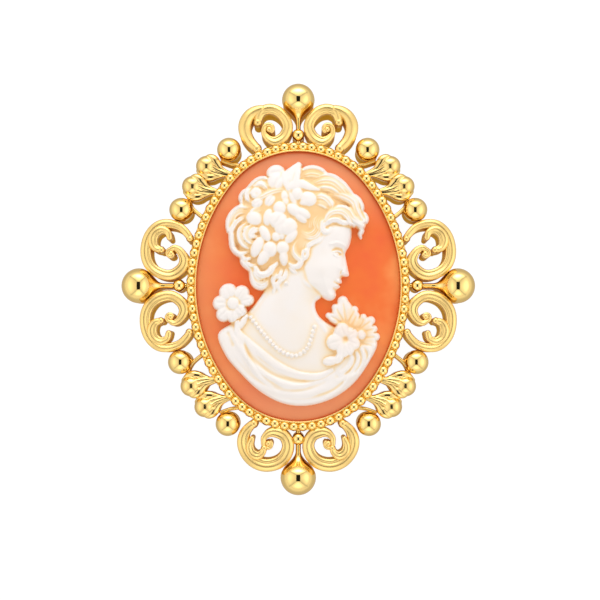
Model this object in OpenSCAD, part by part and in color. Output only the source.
// Oval shell cameo brooch in a pierced scroll border, lying on its back.
// Millimetres, +Z out of the face, +Y to the brooch's top, the floor at Z = 0.

/* [Shell] */
// Width of the oval shell plate
plate_w = 30; // [26:0.5:34]
// Height of the oval shell plate
plate_h = 39.6; // [36:0.5:44]
// Thickness of the plate at its edge
plate_t = 1.4; // [1:0.1:2]
// Rise of the plate's low dome above its edge
plate_rise = 0.9; // [0.4:0.1:1.4]
// Height of the carved bust above the ground at its highest
carve_h = 2.3; // [1.6:0.1:2.8]
// Height of the carving's upright edge
carve_edge = 0.35; // [0.2:0.05:0.6]

/* [Bezel] */
// How far the lip reaches over the plate's edge
lip_cover = 0.43; // [0.3:0.05:0.6]
// Height of the lip above the plate's edge
lip_t = 0.7; // [0.6:0.05:0.9]
// Width of the lip seen from the front
lip_w = 0.42; // [0.35:0.01:0.5]
// Width of the whole bezel seen from the front
bezel_w = 1.5; // [1.4:0.05:1.8]
// Diameter of one grain bead
bead_d = 1.1; // [0.9:0.02:1.2]
// Grain beads in a quarter of the bezel
bead_n = 21; // [18:1:24]
// Thickness of the ledge under the plate
seat_t = 1.3; // [1:0.1:1.8]
// Width of the ledge under the plate
seat_w = 1.3; // [1:0.1:2]

/* [Border] */
// Reach of the scrolls out from the bezel
scroll_reach = 7; // [6.4:0.1:7.6]
// Reach of the two side balls out from the bezel
side_reach = 9.6; // [9:0.1:10.4]
// Reach of the bottom ball out from the bezel
end_reach = 9.25; // [8.6:0.05:10]
// Reach of the top ball out from the bezel
top_reach = 8.9; // [8.4:0.05:9.8]
// Width of a scroll's band at its widest
band_w = 1.55; // [1.3:0.05:1.8]
// Diameter of the plain balls
ball_d = 3.5; // [3:0.1:3.8]
// Diameter of the leaf buds' balls
bud_d = 3.1; // [2.8:0.1:3.4]
// Diameter of the large side balls and the bottom one
large_d = 5.1; // [4.6:0.1:5.6]
// Diameter of the large top ball
top_d = 4.8; // [4.4:0.1:5.4]
// Diameter of the small balls at the necks' inner ends
neck_d = 1.8; // [1.5:0.1:2.2]
// Width of the thin curved wires
wire_w = 0.5; // [0.4:0.05:0.7]
// Depth of the border's upright walls below its balls' middles
wall_h = 3.6; // [3:0.1:4]

/* [Pin] */
// Diameter of the pin's stem
stem_d = 0.9; // [0.7:0.05:1.2]
// Height of the hinge and the catch under the bezel
pin_h = 2.15; // [1.9:0.05:2.6]
// Distance of the pin's line from the brooch's middle
pin_y = 9; // [6:0.5:12]
// Length of the hinge's knuckle and of the catch
knuckle_l = 2.4; // [1.8:0.1:3]

/* [Hidden] */
fit_gap = 0.05;
solder = 0.4;
bar_r = 0.35;
end_share = 0.817;
rim_steps = 30;

// The visible oval is four arcs: two end arcs and two side arcs that meet smoothly.
half_w = plate_w / 2 - lip_cover;
half_h = plate_h / 2 - lip_cover;
end_r = end_share * half_w;
end_y = half_h - end_r;
side_r = (half_w * half_w + end_y * end_y - end_r * end_r) / (2 * (half_w - end_r));
side_x = side_r - half_w;
join = atan2(end_y, side_x);

// Heights from the floor up
bezel_z = pin_h + fit_gap;
plate_z = bezel_z + seat_t + fit_gap;
rim_z = plate_z + plate_t;
lip_z = rim_z + fit_gap + lip_t;
channel_z = lip_z - 0.64 * lip_t;
bead_z = lip_z + fit_gap - bead_d / 2;
edge_z = channel_z + 0.12;
edge_w = 0.14;
ball_z = lip_z - 0.95;
large_z = ball_z - 0.35;
back_z = ball_z - wall_h;
band_z = ball_z + 0.85;
leaf_z = band_z + 0.12;
wire_z = ball_z + 0.1;

// Arc lengths along a quarter of the bezel's outer edge
side_arc = (side_r + bezel_w) * join * PI / 180;
end_arc = (end_r + bezel_w) * (90 - join) * PI / 180;
quarter = side_arc + end_arc;

// The way the edge faces at a share of the quarter, from the side (0) to the end (1)
function facing(s) = s * quarter <= side_arc
    ? s * quarter / (side_r + bezel_w) * 180 / PI
    : join + (s * quarter - side_arc) / (end_r + bezel_w) * 180 / PI;

// A point at that share, this far outside the visible oval
function rim(s, off) = let (a = facing(s)) a <= join
    ? [(side_r + off) * cos(a) - side_x, (side_r + off) * sin(a)]
    : [(end_r + off) * cos(a), (end_r + off) * sin(a) + end_y];

// The same, this far outside the bezel, as a share of the scrolls' reach
function out(s, reach) = rim(s, bezel_w + reach * scroll_reach);

// The whole oval, this far outside the visible one
function oval(off) = [for (k = [0 : 4 * rim_steps - 1]) let (
    quad = floor(k / rim_steps),
    t = (k % rim_steps) / rim_steps,
    p = rim(quad % 2 == 0 ? t : 1 - t, off))
    [(quad == 0 || quad == 3 ? 1 : -1) * p.x, (quad < 2 ? 1 : -1) * p.y]];

// A smooth curve through rows of a table, with this many steps from row to row
function between(a, b, c, d, t) = 0.5 * (2 * b + (c - a) * t
    + (2 * a - 5 * b + 4 * c - d) * t * t + (3 * b - a - 3 * c + d) * t * t * t);
function smooth_rows(rows, steps) = let (n = len(rows) - 1) [
    for (k = [0 : n * steps]) let (i = min(floor(k / steps), n - 1), t = k / steps - i)
        between(rows[max(i - 1, 0)], rows[i], rows[i + 1], rows[min(i + 2, n)], t)];

// Scrolls: share along the quarter, share of the reach, and share of the band's width
SIDE_EYE = [0.143, 0.39];
SIDE_BAND = [
    [0.160, 0.42, 0.45], [0.172, 0.34, 0.55], [0.160, 0.21, 0.75], [0.125, 0.10, 0.95],
    [0.085, 0.13, 1.00], [0.052, 0.29, 1.00], [0.047, 0.48, 1.00], [0.066, 0.71, 1.00],
    [0.104, 0.87, 1.00], [0.155, 0.93, 1.00], [0.207, 0.90, 1.00], [0.250, 0.77, 0.95],
    [0.270, 0.57, 0.85], [0.270, 0.34, 0.75], [0.248, 0.15, 0.70], [0.230, 0.08, 0.60]];
SIDE_LEAF = [
    [0.211, 0.49, 0.55], [0.232, 0.56, 0.62], [0.235, 0.70, 0.80], [0.213, 0.81, 0.95],
    [0.182, 0.82, 0.95], [0.157, 0.73, 0.75], [0.152, 0.60, 0.60]];
TOP_EYE = [0.876, 0.36];
TOP_BAND = [
    [0.853, 0.39, 0.45], [0.850, 0.29, 0.55], [0.864, 0.16, 0.75], [0.891, 0.09, 0.95],
    [0.930, 0.15, 1.00], [0.954, 0.32, 1.00], [0.950, 0.50, 1.00], [0.930, 0.67, 1.00],
    [0.905, 0.77, 1.00], [0.880, 0.79, 0.95], [0.858, 0.73, 0.90], [0.841, 0.58, 0.75]];
TOP_LEAF = [
    [0.868, 0.83, 0.70], [0.842, 0.82, 1.00], [0.815, 0.76, 1.15], [0.791, 0.63, 1.22],
    [0.779, 0.45, 1.20], [0.780, 0.26, 1.05], [0.793, 0.08, 0.85]];
BASE_EYE = [0.874, 0.35];
BASE_BAND = [
    [0.853, 0.35, 0.45], [0.849, 0.26, 0.55], [0.862, 0.15, 0.75], [0.891, 0.09, 0.95],
    [0.934, 0.13, 1.05], [0.957, 0.30, 1.12], [0.950, 0.52, 1.18], [0.925, 0.69, 1.20],
    [0.885, 0.79, 1.20], [0.843, 0.78, 1.20], [0.804, 0.67, 1.18], [0.777, 0.51, 1.12],
    [0.767, 0.33, 1.00], [0.772, 0.17, 0.85], [0.782, 0.08, 0.75]];
BASE_LEAF = [
    [0.804, 0.37, 0.50], [0.808, 0.52, 0.70], [0.823, 0.63, 0.85], [0.847, 0.65, 0.80],
    [0.861, 0.56, 0.65], [0.863, 0.46, 0.55]];

// Wires: share along the quarter and share of the reach
WIRES = [
    [[0.402, 0.42], [0.372, 0.24], [0.353, -0.04]],
    [[0.514, 0.34], [0.496, 0.16], [0.474, -0.04]],
    [[0.632, 0.30], [0.652, 0.12], [0.684, -0.04]]];

// Balls and buds of a quarter: share along it and share of the reach
BALLS = [[0.346, 0.46], [0.686, 0.38]];
BUDS = [[0.461, 0.48], [0.570, 0.48]];
bud_turn = 16;
// Leaves and tail of a bud, in radii of its ball: along the tail, aside, and half width
BUD_LEAF = [
    [-0.25, 0.72, 0.26], [0.35, 1.02, 0.40], [1.00, 0.98, 0.44], [1.60, 0.62, 0.34], [2.36, 0.10, 0.20]];
BUD_TAIL = [[0.60, 0, 0.36], [1.40, 0, 0.36], [2.40, 0, 0.22]];

// Section of a band: across and up, as shares of its half width and its height
BAND_SECTION = [
    [-1, 0], [1, 0], [1, 0.78], [0.75, 0.93], [0.27, 1], [-0.27, 1], [-0.75, 0.93], [-1, 0.78]];

// A domed band swept along rows of [x, y, half width], with flat ends
module band(rows, low, high) {
    n = len(rows);
    m = len(BAND_SECTION);
    points = [for (i = [0 : n - 1]) let (
        d = rows[min(i + 1, n - 1)] - rows[max(i - 1, 0)],
        across = [d.y, -d.x] / norm([d.x, d.y]))
        for (p = BAND_SECTION) [
            rows[i].x + across.x * p.x * rows[i].z,
            rows[i].y + across.y * p.x * rows[i].z,
            low + (high - low) * p.y]];
    sides = [for (i = [0 : n - 2], k = [0 : m - 1])
        [i * m + k, i * m + (k + 1) % m, (i + 1) * m + (k + 1) % m, (i + 1) * m + k]];
    polyhedron(points, concat([[for (k = [m - 1 : -1 : 0]) k]], sides,
        [[for (k = [0 : m - 1]) (n - 1) * m + k]]));
}

// A ball on an upright wall
module stud(at, d, low, middle) {
    translate([at.x, at.y, middle]) sphere(d = d, $fn = 48);
    translate([at.x, at.y, low]) cylinder(d = 0.98 * d, h = middle - low, $fn = 48);
}

// The band's knobs: small studs whose tops are level with it
module knob(at, d, high) { stud(at, d, back_z, high - d / 2); }

// Rows of a scroll's table as points with half widths in millimetres
function laid(rows) = [for (r = smooth_rows(rows, 2))
    let (p = out(r[0], r[1])) [p.x, p.y, r[2] * band_w / 2]];
function tip(rows, i) = out(rows[i][0], rows[i][1]);

module scroll(eye, rows, leaf) {
    band(laid(rows), back_z, band_z);
    band(laid(leaf), back_z + 0.2, leaf_z);
    knob(out(eye[0], eye[1]), 0.9 * band_w, band_z);
    knob(tip(rows, len(rows) - 1), 0.75 * band_w, band_z + 0.02);
    knob(tip(leaf, len(leaf) - 1), 0.72 * band_w, leaf_z + 0.02);
}

module bud(at) {
    p = out(at[0], at[1]);
    way = 180 + facing(at[0]) - bud_turn;
    r = bud_d / 2;
    stud(p, bud_d, back_z, ball_z);
    translate([p.x, p.y, 0]) rotate([0, 0, way]) {
        for (side = [1, -1])
            band([for (q = BUD_LEAF) [r * q[0], side * r * q[1], r * q[2]]], back_z + 0.1, band_z);
        band([for (q = BUD_TAIL) r * q], back_z + 0.3, band_z + 0.2);
    }
}

module wire(rows) {
    band([for (r = smooth_rows(rows, 2)) let (p = out(r[0], r[1])) [p.x, p.y, wire_w / 2]],
        bezel_z + fit_gap, wire_z);
}

// A large ball with its tapering neck, lying along +X from the bezel's edge at X = 0
module drop(reach, d) {
    middle = reach - d / 2;
    cone_low = middle - 0.61 * d;
    cone_high = middle - 0.26 * d;
    cone_r = 0.4 * d;
    bar_l = cone_low + 0.1;
    wall = 0.95;
    stud([middle, 0], d, back_z, large_z);
    translate([cone_low, 0, large_z]) rotate([0, 90, 0])
        cylinder(h = cone_high - cone_low, r1 = bar_r, r2 = cone_r, $fn = 48);
    translate([0, 0, back_z]) linear_extrude(large_z - back_z) polygon([
        [cone_low, -wall * bar_r], [cone_high, -wall * cone_r],
        [cone_high, wall * cone_r], [cone_low, wall * bar_r]]);
    translate([-solder, 0, large_z]) rotate([0, 90, 0]) cylinder(h = bar_l + solder, r = bar_r, $fn = 32);
    translate([-solder, -0.9 * bar_r, back_z + 0.15])
        cube([bar_l + solder, 1.8 * bar_r, large_z - back_z - 0.15]);
    stud([0.67 * neck_d, 0], neck_d, back_z + 0.05, ball_z);
}

// A flat slab of the oval between two heights
module slab(off, low, high) {
    translate([0, 0, low]) linear_extrude(high - low) polygon(oval(off));
}

module bezel() {
    groove = lip_cover + fit_gap;
    difference() {
        slab(bezel_w, bezel_z, lip_z);
        slab(groove - seat_w, bezel_z - 1, plate_z);
        slab(groove, plate_z - fit_gap, rim_z + fit_gap);
        slab(0, rim_z, lip_z + 1);
        difference() {
            slab(bezel_w + 1, edge_z, lip_z + 1);
            slab(lip_w, channel_z, lip_z + 2);
        }
        difference() {
            slab(bezel_w - edge_w, channel_z, edge_z + 0.1);
            slab(lip_w, channel_z - 1, lip_z + 2);
        }
    }
}

module beads() {
    for (mx = [0, 1], my = [0, 1], k = [0 : bead_n - 1]) {
        p = rim((k + 0.5) / bead_n, (lip_w + bezel_w - edge_w) / 2);
        mirror([mx, 0, 0]) mirror([0, my, 0])
            translate([p.x, p.y, bead_z]) sphere(d = bead_d, $fn = 24);
    }
}

module border() {
    for (mx = [0, 1], my = [0, 1]) mirror([mx, 0, 0]) mirror([0, my, 0]) {
        scroll(SIDE_EYE, SIDE_BAND, SIDE_LEAF);
        if (my == 0) scroll(TOP_EYE, TOP_BAND, TOP_LEAF);
        else scroll(BASE_EYE, BASE_BAND, BASE_LEAF);
        for (at = BALLS) stud(out(at[0], at[1]), ball_d, back_z, ball_z);
        for (at = BUDS) bud(at);
        for (rows = WIRES) wire(rows);
    }
    for (mx = [0, 1]) mirror([mx, 0, 0]) translate([half_w + bezel_w, 0, 0]) drop(side_reach, large_d);
    translate([0, half_h + bezel_w, 0]) rotate([0, 0, 90]) drop(top_reach, top_d);
    translate([0, -half_h - bezel_w, 0]) rotate([0, 0, -90]) drop(end_reach, large_d);
}

module gold_frame() {
    color("gold") {
        bezel();
        beads();
        border();
    }
}

// The shell plate: rings of the oval, drawn in towards the middle under a low dome
DOME_RINGS = [0.86, 0.66, 0.4];
function ground_z(x, y) = rim_z + plate_rise
    * (1 - pow(x / (half_w + lip_cover), 2) - pow(y / (half_h + lip_cover), 2));

module plate(lift) {
    edge = oval(lip_cover);
    n = len(edge);
    points = concat(
        [for (p = edge) [p.x, p.y, plate_z]],
        [for (p = edge) [p.x, p.y, rim_z + lift]],
        [for (f = DOME_RINGS, p = edge) [f * p.x, f * p.y, ground_z(f * p.x, f * p.y) + lift]],
        [[0, 0, ground_z(0, 0) + lift]]);
    last = len(DOME_RINGS) + 1;
    polyhedron(points, concat(
        [[for (k = [0 : n - 1]) k]],
        [for (i = [0 : last - 1], k = [0 : n - 1]) let (next = (k + 1) % n)
            [i * n + k, (i + 1) * n + k, (i + 1) * n + next, i * n + next]],
        [for (k = [0 : n - 1]) [last * n + k, (last + 1) * n, last * n + (k + 1) % n]]));
}

module cameo_ground() {
    color("coral") plate(0);
}

// The bust is laid out in shares of this length, from the oval's middle.
bust = min(half_h, 1.33 * half_w);

// A flower as forms: its petals round a ball
function flower(x, y, r, n, low) = concat(
    [for (k = [0 : n - 1]) let (a = 360 * k / n + 20)
        [x + 0.58 * r * cos(a), y + 0.58 * r * sin(a), 0.46 * r, 0.4 * r, a, low, 0.25]],
    [[x, y, 0.32 * r, 0.32 * r, 0, low + 0.12, 0.3]]);

// Soft masses that stay inside the outline: x, y, half length, half width, turn, low, rise
MASSES = [
    [0.02, 0.47, 0.42, 0.44, 0, 0.25, 0.45], [0.22, 0.18, 0.30, 0.22, 70, 0.30, 0.55],
    [-0.08, -0.20, 0.42, 0.24, 70, 0.10, 0.55], [-0.06, -0.52, 0.55, 0.30, 0, 0.15, 0.35],
    [-0.34, -0.42, 0.36, 0.20, -40, 0.15, 0.40], [0.34, -0.50, 0.30, 0.24, 30, 0.15, 0.40],
    [0.00, -0.70, 0.55, 0.22, 0, 0.12, 0.35]];
// Raised forms of hair and drapery
HAIR = [
    [0.12, 0.76, 0.30, 0.16, -12, 0.45, 0.30], [0.32, 0.66, 0.24, 0.12, -40, 0.45, 0.30],
    [0.41, 0.51, 0.13, 0.09, -60, 0.50, 0.30], [0.46, 0.40, 0.08, 0.05, -80, 0.40, 0.25],
    [0.28, 0.51, 0.20, 0.08, -12, 0.55, 0.30], [-0.20, 0.80, 0.14, 0.10, 30, 0.40, 0.30],
    [-0.33, 0.69, 0.13, 0.11, 20, 0.42, 0.32], [-0.44, 0.56, 0.14, 0.09, 55, 0.40, 0.30],
    [-0.39, 0.37, 0.18, 0.14, 70, 0.45, 0.35], [-0.37, 0.18, 0.12, 0.08, -30, 0.40, 0.30],
    [-0.29, 0.05, 0.12, 0.09, -20, 0.42, 0.30], [-0.18, 0.02, 0.08, 0.09, 20, 0.35, 0.28],
    [-0.10, 0.14, 0.06, 0.13, 10, 0.40, 0.25], [0.00, 0.24, 0.06, 0.13, 8, 0.42, 0.22]];
FOLDS = [
    [-0.38, -0.46, 0.24, 0.05, -48, 0.45, 0.25], [-0.16, -0.66, 0.24, 0.05, -32, 0.42, 0.25],
    [0.10, -0.70, 0.26, 0.05, -6, 0.42, 0.25], [0.32, -0.62, 0.20, 0.05, 38, 0.42, 0.25],
    [0.02, -0.80, 0.28, 0.05, -4, 0.35, 0.20]];
// Petals and buds of the wreath
WREATH = concat(flower(-0.14, 0.47, 0.13, 5, 0.62), [
    [-0.02, 0.69, 0.06, 0.06, 0, 0.66, 0.25], [0.08, 0.65, 0.08, 0.05, 20, 0.64, 0.25],
    [0.00, 0.56, 0.09, 0.04, -35, 0.64, 0.25], [-0.33, 0.25, 0.11, 0.045, 60, 0.60, 0.28],
    [-0.23, 0.25, 0.12, 0.05, 72, 0.60, 0.28], [-0.12, 0.26, 0.10, 0.045, 84, 0.60, 0.28],
    [-0.22, 0.36, 0.07, 0.05, 20, 0.60, 0.25], [-0.04, 0.38, 0.07, 0.045, -50, 0.60, 0.25]]);
// Leaves with pointed ends: x, y, half length, half width, turn, low, rise
LEAVES = [
    [-0.03, 0.84, 0.13, 0.05, 100, 0.50, 0.25], [0.08, 0.77, 0.12, 0.05, -35, 0.50, 0.25],
    [0.33, -0.16, 0.11, 0.06, 100, 0.35, 0.25], [0.41, -0.20, 0.11, 0.06, 60, 0.35, 0.25],
    [0.49, -0.26, 0.10, 0.06, 25, 0.35, 0.25], [0.51, -0.36, 0.10, 0.05, -15, 0.35, 0.25],
    [0.48, -0.46, 0.12, 0.05, -62, 0.35, 0.25], [0.23, -0.54, 0.09, 0.04, 20, 0.45, 0.25]];
CORSAGE = concat(flower(0.335, -0.39, 0.15, 6, 0.55), flower(0.44, -0.33, 0.09, 5, 0.50));
ROSE = flower(-0.49, -0.125, 0.145, 6, 0.35);

// The neck and the draped chest, whose lower edge runs along the oval
CHEST = [
    [-0.20, 0.14], [-0.26, -0.03], [-0.38, -0.185], [-0.50, -0.265], [-0.605, -0.35],
    [-0.55, -0.50], [-0.45, -0.62], [-0.30, -0.76], [-0.13, -0.85], [0.05, -0.87],
    [0.24, -0.82], [0.40, -0.71], [0.52, -0.55], [0.58, -0.40], [0.46, -0.32],
    [0.28, -0.30], [0.15, -0.22], [0.12, -0.12], [0.18, -0.04], [0.20, 0.10]];
// A plain profile on the common thirds: forward and up from the chin, in face heights
face_h = 0.6;
face_turn = -14;
face_at = [0.235, -0.108];
PROFILE = [
    [-0.50, 0.30], [-0.34, 0.06], [-0.18, 0.02], [-0.03, 0.00], [0.03, 0.03], [0.05, 0.08],
    [0.03, 0.14], [0.07, 0.18], [0.065, 0.215], [0.055, 0.225], [0.08, 0.25], [0.06, 0.30],
    [0.07, 0.335], [0.14, 0.35], [0.165, 0.38], [0.11, 0.47], [0.05, 0.60], [0.03, 0.65],
    [0.05, 0.70], [0.05, 0.80], [0.03, 0.92], [-0.02, 1.00], [-0.50, 1.00]];

// Height of one form above the ground, as a share of the carving's
function form(f, x, y) = let (
    dx = x / bust - f[0],
    dy = y / bust - f[1],
    u = (dx * cos(f[4]) + dy * sin(f[4])) / f[2],
    v = (dy * cos(f[4]) - dx * sin(f[4])) / f[3],
    q = u * u + v * v)
    q >= 1 ? 0 : f[5] + f[6] * sqrt(1 - q);

function shared(lists) = [for (l = lists) each l];
FORMS = shared([MASSES, HAIR, FOLDS, WREATH, LEAVES, CORSAGE, ROSE]);
function carved(x, y) = ground_z(x, y) + fit_gap
    + carve_edge + (carve_h - carve_edge) * max([for (f = FORMS) form(f, x, y)]);

module blob(f) {
    translate([f[0], f[1]]) rotate([0, 0, f[4]]) scale([f[2], f[3]]) circle(1, $fn = 16);
}

module pointed(f) {
    translate([f[0], f[1]]) rotate([0, 0, f[4]]) hull() {
        scale([0.6 * f[2], f[3]]) circle(1, $fn = 16);
        translate([0.96 * f[2], 0]) circle(0.04 * f[2], $fn = 6);
        translate([-0.96 * f[2], 0]) circle(0.04 * f[2], $fn = 6);
    }
}

module bust_outline() {
    scale([bust, bust]) {
        polygon([for (r = smooth_rows(CHEST, 3)) r]);
        translate(face_at) rotate([0, 0, face_turn]) scale([face_h, face_h])
            polygon([for (r = smooth_rows(PROFILE, 2)) r]);
        blob(MASSES[0]);
        for (f = shared([HAIR, WREATH, CORSAGE, ROSE])) blob(f);
        for (f = LEAVES) pointed(f);
    }
}

// A block whose top is the carving and whose underside is flat
module carving_block() {
    step = bust / 26;
    nx = 34;
    ny = 50;
    low = rim_z - 1;
    function at(i, j) = [(i - nx / 2 + 0.03) * step, (j - ny / 2 + 0.57) * step];
    row = nx + 1;
    count = row * (ny + 1);
    points = concat(
        [for (j = [0 : ny], i = [0 : nx]) let (p = at(i, j)) [p.x, p.y, carved(p.x, p.y)]],
        [for (j = [0 : ny], i = [0 : nx]) let (p = at(i, j)) [p.x, p.y, low]]);
    top = [for (j = [0 : ny - 1], i = [0 : nx - 1]) let (a = j * row + i)
        each [[a, a + row, a + row + 1], [a, a + row + 1, a + 1]]];
    walls = concat(
        [for (i = [0 : nx - 1]) let (a = i) [a, a + 1, a + 1 + count, a + count]],
        [for (i = [0 : nx - 1]) let (a = ny * row + i) [a + 1, a, a + count, a + 1 + count]],
        [for (j = [0 : ny - 1]) let (a = j * row) [a + row, a, a + count, a + row + count]],
        [for (j = [0 : ny - 1]) let (a = j * row + nx) [a, a + row, a + row + count, a + count]]);
    base = [for (j = [0 : ny - 1], i = [0 : nx - 1]) let (a = count + j * row + i)
        [a, a + 1, a + row + 1, a + row]];
    polyhedron(points, concat(top, walls, base));
}

module cameo_relief() {
    color("ivory") difference() {
        intersection() {
            carving_block();
            translate([0, 0, rim_z - 0.5]) linear_extrude(2 * plate_rise + carve_h + 2) bust_outline();
        }
        plate(fit_gap);
    }
}

// The pin assembly behind the bezel: hinge knuckle, stem and catch in one
module pin_clasp() {
    metal = bezel_w + seat_w - lip_cover;
    seat = rim(asin(pin_y / side_r) / join * side_arc / quarter, (lip_cover + bezel_w - seat_w) / 2);
    knuckle_r = (pin_h - 0.3) / 2;
    color("gold") {
        for (side = [-1, 1]) translate([side * seat.x, pin_y, 0]) {
            translate([-metal / 2, -knuckle_l / 2, pin_h - 0.5]) cube([metal, knuckle_l, 0.5]);
            translate([0, knuckle_l / 2, knuckle_r]) rotate([90, 0, 0])
                cylinder(r = knuckle_r, h = knuckle_l, $fn = 48);
        }
        translate([-seat.x, pin_y, knuckle_r]) rotate([0, 90, 0])
            cylinder(d = stem_d, h = 2 * seat.x, $fn = 32);
    }
}

gold_frame();
cameo_ground();
cameo_relief();
pin_clasp();
